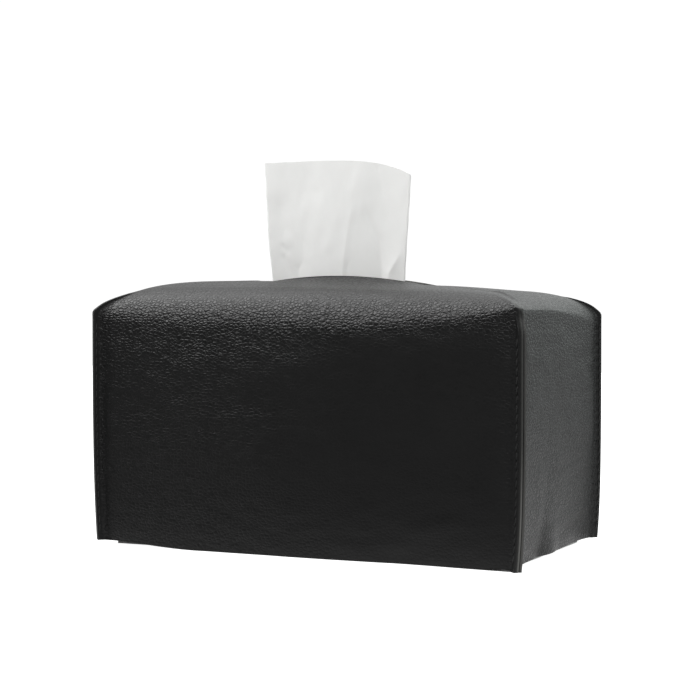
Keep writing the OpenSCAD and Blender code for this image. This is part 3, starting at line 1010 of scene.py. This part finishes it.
# %% [markdown]
# The folded tissues repeat one sheet after another, so this is a second job for
# Geometry Nodes. One sheet is a flat loop with rounded ends, swept along the carton.
# %% One folded sheet
sheets, stack_low, stack_high = 34, 0.8, 100.8
pitch = (stack_high - stack_low) / sheets
thick_share, curl_share = 0.93, 0.49
stacked, start, end = new_group(
    "stacked_sheets", "GeometryNodeTree",
    [("Sheets", "Int", sheets), ("Pitch", "Float", pitch * MM),
     ("First height", "Float", (stack_low + pitch / 2) * MM), ("Depth", "Float", 0.1036),
     ("Length", "Float", 0.2218), ("Disorder", "Float", 0.0004), ("Seed", "Int", 7),
     ("Finish", "Material", None)],
    [("Stack", "Geometry")],
)


def times(socket, factor):
    return math_node(stacked, "MULTIPLY", socket, factor)


def vector_of(**parts):
    return node(stacked, "CombineXYZ", parts)[0]


thick = times(start["Pitch"], thick_share)
loop = geo(stacked, "CurvePrimitiveQuadrilateral", {"Width": start["Depth"], "Height": thick})
soft_loop = geo(
    stacked, "FilletCurve",
    {"Curve": loop, "Radius": times(thick, curl_share), "Count": 4}, mode="POLY",
)
line = geo(stacked, "CurvePrimitiveLine", {
    "Start": vector_of(X=times(start["Length"], -0.5)),
    "End": vector_of(X=times(start["Length"], 0.5)),
})
swept = geo(stacked, "CurveToMesh", {"Curve": line, "Profile Curve": soft_loop, "Fill Caps": True})
print("one folded sheet is", round(pitch * thick_share, 1), "mm thick")

# %% [markdown]
# Points stacked upward carry the sheet, each shifted a little with a fixed seed,
# because folded paper never lies quite in line.
# %% Stack them with a little disorder
levels = geo(stacked, "MeshLine", {
    "Count": start["Sheets"], "Start Location": vector_of(Z=start["First height"]),
    "Offset": vector_of(Z=start["Pitch"]),
})
most = vector_of(X=start["Disorder"], Y=start["Disorder"])
least = vector_of(X=times(start["Disorder"], -1.0), Y=times(start["Disorder"], -1.0))
nudge = function(
    stacked, "RandomValue",
    {"Min": least, "Max": most, "Seed": start["Seed"]}, data_type="FLOAT_VECTOR",
)
shifted = geo(stacked, "SetPosition", {"Geometry": levels, "Offset": nudge})
laid = geo(stacked, "InstanceOnPoints", {"Points": shifted, "Instance": swept})
whole = geo(stacked, "RealizeInstances", {"Geometry": laid})
papered = geo(stacked, "SetMaterial", {"Geometry": whole, "Material": start["Finish"]})
stacked.links.new(papered, end["Stack"])
stack = bake(
    "folded_tissues", bpy.data.meshes.new("levels"), stacked,
    {"Sheets": sheets, "Finish": tissue_finish},
)
corners = np.array([v.co for v in stack.data.vertices]) / MM
print("stack:", len(stack.data.polygons), "faces")
print("from", corners.min(0).round(1), "to", corners.max(0).round(1))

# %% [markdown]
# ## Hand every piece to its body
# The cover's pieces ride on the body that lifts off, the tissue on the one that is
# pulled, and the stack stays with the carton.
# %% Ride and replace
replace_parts(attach(cover, "cover"), "leather_shell")
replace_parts(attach(backing, "cover"), "suede_lining")
for name, piece in threads.items():
    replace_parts(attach(piece, "cover"), "seam_thread_" + name)
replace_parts(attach(tissue, "tissue"), "pulled_tissue")
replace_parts(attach(stack, "tissue_box"), "tissue_stack")
print("pieces handed over")

# %% [markdown]
# We print the area of each soft piece. The leather and its lining are flat blanks folded over the
# carton, and an area is that of one face. The film's slit holds the folded tissue up, and the
# stack is nearly full of paper.


# %% Soft pieces
def area_of(piece):
    return sum(face.area for face in piece.data.polygons)


print("leather, one side:", round(area_of(cover) / 2, 4), "m2")
print("lining, one side:", round(area_of(backing) / 2, 4), "m2")
print("tissue:", round(area_of(tissue), 4), "m2")

# %% [markdown]
# ## Table, light and camera
# The photo is a studio shot on a white sweep. The satin leather mirrors it darker in
# front, as if a grey card lay before it, so the front wall stays dark while the crown
# and the end wall turn grey.
# %% Table
square = np.array([(-1, -1, 0), (1, -1, 0), (1, 1, 0), (-1, 1, 0)])
table = make_object("table", 3000 * square, [(0, 1, 2, 3)])
table_finish, tree, shader, place = new_material("white_table")
path = node(tree, "LightPath")
backward = node(tree, "SeparateXYZ", {0: place})[1]
away = node(tree, "VectorMath", {0: place}, operation="LENGTH")["Value"]
beside = map_range(tree, backward, (-0.14, -0.06))
near = map_range(tree, away, (0.2, 0.75), (0.62, 0.0))
mirrored = math_node(tree, "ADD", math_node(tree, "MULTIPLY", beside, near), 0.42)
in_mirror = math_node(tree, "MULTIPLY", path["Is Glossy Ray"], mirrored)
fill(tree, shader, {
    "Base Color": blend(tree, path["Is Glossy Ray"], (0.34,) * 3, (0.0,) * 3),
    "Emission Color": (1, 1, 1, 1),
    "Emission Strength": math_node(tree, "ADD", path["Is Camera Ray"], in_mirror),
    "Roughness": 0.9,
    "Specular IOR Level": 0.0,
})
table.data.materials.append(table_finish)
table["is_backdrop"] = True
print("table ready")

# %% [markdown]
# Two soft boxes light it: a large one up at the left and a little in front, which
# draws the light along the roll, and a weak one from the front right for the tissue.
# %% Soft boxes
aim = Vector((0, 0, 0.15))


def soft_box(name, place, width, height, power):
    lamp = bpy.data.lights.new(name, "AREA")
    lamp.shape, lamp.size, lamp.size_y, lamp.energy = "RECTANGLE", width, height, power
    box = add_object(name, lamp)
    box.location = place
    box.rotation_euler = (aim - Vector(place)).to_track_quat("-Z", "Y").to_euler()


soft_box("overhead_scrim", (-0.8, -0.36, 1.42), 1.1, 0.9, 25)
soft_box("right_fill", (0.5, -1.4, 1.0), 0.8, 0.8, 9.5)
print("soft boxes:", len(bpy.data.lights))

# %% [markdown]
# The rest comes from the room: a white ceiling and a background behind the cover,
# brighter to the right, which the crown mirrors, and a faint greenish light from the
# side, which tints the end wall. The camera itself sees plain white.
# %% White surroundings
world = bpy.data.worlds.new("studio")
bpy.context.scene.world = world
world.use_nodes = True
tree = world.node_tree
tree.nodes.clear()
way = node(tree, "TexCoord")["Generated"]
axes = node(tree, "SeparateXYZ", {0: way})
behind = map_range(tree, axes[1], (-0.12, 0.1))
high = math_node(tree, "POWER", math_node(tree, "MAXIMUM", axes[2], 0.0), 5.0)
to_right = map_range(tree, axes[0], (-0.62, -0.1), (0.4, 0.94), "LINEAR")
low_haze = map_range(tree, axes[2], (-0.02, 0.22), (0.27, to_right))
room = math_node(tree, "ADD", math_node(tree, "MULTIPLY", high, 4.6), low_haze)
room = math_node(tree, "MULTIPLY", room, behind)
sideways = {0: way, 1: (0.75, 0.65, 0.1)}
facing = node(tree, "VectorMath", sideways, operation="DOT_PRODUCT")["Value"]
side = map_range(tree, facing, (0.1, 1.0), (0.0, 0.3))
glow = node(tree, "Background", {
    "Color": blend(tree, side, (1, 1, 1), (0.8, 1, 0.92)),
    "Strength": math_node(tree, "ADD", math_node(tree, "ADD", room, side), 0.09),
})[0]
seen = node(tree, "Background", {"Color": (1, 1, 1, 1), "Strength": 1.05})[0]
to_camera = node(tree, "LightPath")["Is Camera Ray"]
choose = node(tree, "MixShader", {0: to_camera, 1: glow, 2: seen})[0]
output = tree.nodes.new("ShaderNodeOutputWorld")
tree.links.new(choose, output.inputs[0])
bpy.context.scene.view_settings.view_transform = "Standard"
print("room ready")

# %% [markdown]
# The camera was fitted to the box's corners in the photo, which is 700 pixels wide.
# It stands low and 0.92 m away, and sees the front and the right end.
# %% Camera
picture, focal_pixels, shift_pixels = 700, 1658.79, 2.01
distance, eye_height, sensor = 0.92235, 0.1236, 36
yaw, pitch_down = math.radians(25.24), math.radians(1.01)
lens = bpy.data.cameras.new("camera")
lens.sensor_width = sensor
lens.lens = focal_pixels / picture * sensor
lens.shift_x = shift_pixels / picture
camera = add_object("camera", lens)
camera.location = (distance * math.sin(yaw), -distance * math.cos(yaw), eye_height)
camera.rotation_euler = (math.pi / 2 - pitch_down, 0, yaw)
bpy.context.scene.camera = camera
print("camera at", [round(v, 3) for v in camera.location])

# %% [markdown]
# ## The size of the dressed part
# We print the box of every shown piece, in millimetres. The dressed part has to stay
# inside the CAD part's box.
# %% Sizes and the end
bpy.context.view_layer.update()
low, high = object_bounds()
print("visual box, mm:", [round((b - a) / MM, 1) for a, b in zip(low, high)])
